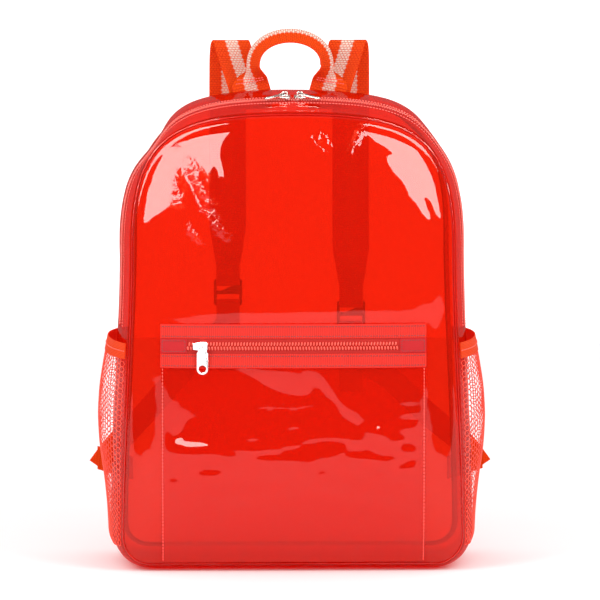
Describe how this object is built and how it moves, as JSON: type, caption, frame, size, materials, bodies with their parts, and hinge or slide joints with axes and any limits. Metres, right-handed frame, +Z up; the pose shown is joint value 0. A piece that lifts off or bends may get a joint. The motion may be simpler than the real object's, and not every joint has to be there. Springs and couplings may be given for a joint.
{
  "type": "clear stadium backpack",
  "caption": "Clear red vinyl backpack with a domed zip top, front zip pocket, net side pockets, webbing haul handle and shoulder straps.",
  "frame": {"origin": "middle of the flat base, on the surface the bag stands on", "axes": "+Z up the bag, -Y out of its front with the zip pocket, +X to the right seen from the front"},
  "size_m": [0.3638, 0.2013, 0.4749],
  "materials": {
    "clear_vinyl": "see-through red vinyl film, high gloss, softly wrinkled",
    "zip_tape": "woven zip tape",
    "zip_coil": "nylon coil",
    "ribbed_binding": "fine ribbed binding tape",
    "end_tab_cloth": "plain woven cloth",
    "bright_metal": "bright nickel plate",
    "nickel": "nickel plate",
    "striped_webbing": "woven webbing with a pale middle stripe",
    "plain_webbing": "plain woven webbing",
    "dark_plastic": "moulded, satin",
    "net": "hexagonal net",
    "elastic_band": "knitted elastic"
  },
  "bodies": {
    "bag": {"front_panel": "clear_vinyl", "back_panel": "clear_vinyl", "gusset_front_strip": "clear_vinyl", "gusset_rear_strip": "clear_vinyl", "lower_gusset": "clear_vinyl", "pocket_panel": "clear_vinyl", "main_zip_tape": "zip_tape", "pocket_zip_tape": "zip_tape", "main_zip_coil": "zip_coil", "pocket_zip_coil": "zip_coil", "pocket_binding_lower": "ribbed_binding", "pocket_binding_upper": "ribbed_binding", "pocket_end_tab_left": "end_tab_cloth", "pocket_end_tab_right": "end_tab_cloth", "pocket_slider": "bright_metal", "main_slider_left": "nickel", "main_slider_right": "nickel", "haul_handle": "striped_webbing", "shoulder_strap_left": "striped_webbing", "shoulder_strap_right": "striped_webbing", "lower_strap_left": "plain_webbing", "lower_strap_right": "plain_webbing", "strap_tab_left": "plain_webbing", "strap_tab_right": "plain_webbing", "strap_adjuster_left": "dark_plastic", "strap_adjuster_right": "dark_plastic", "side_net_left": "net", "side_net_right": "net", "net_band_left": "elastic_band", "net_band_right": "elastic_band"},
    "pull_left": {"main_pull_left": "nickel"},
    "pull_right": {"main_pull_right": "nickel"},
    "pull_pocket": {"pocket_pull": "bright_metal"}
  },
  "joints": [
    {"name": "main_pull_left_flip", "type": "hinge", "parent": "bag", "child": "pull_left", "pos_m": [-0.00671, -0.03293, 0.42529], "axis": [-0.4067, 0.9001, 0.1562], "range_deg": [0, 100]},
    {"name": "main_pull_right_flip", "type": "hinge", "parent": "bag", "child": "pull_right", "pos_m": [0.00669, -0.03293, 0.42531], "axis": [-0.4067, -0.8997, -0.1585], "range_deg": [0, 100]},
    {"name": "pocket_pull_swing", "type": "hinge", "parent": "bag", "child": "pull_pocket", "pos_m": [-0.08118, -0.08878, 0.20501], "axis": [-0.0409, -0.9992, 0.0018], "range_deg": [-25, 60]}
  ]
}
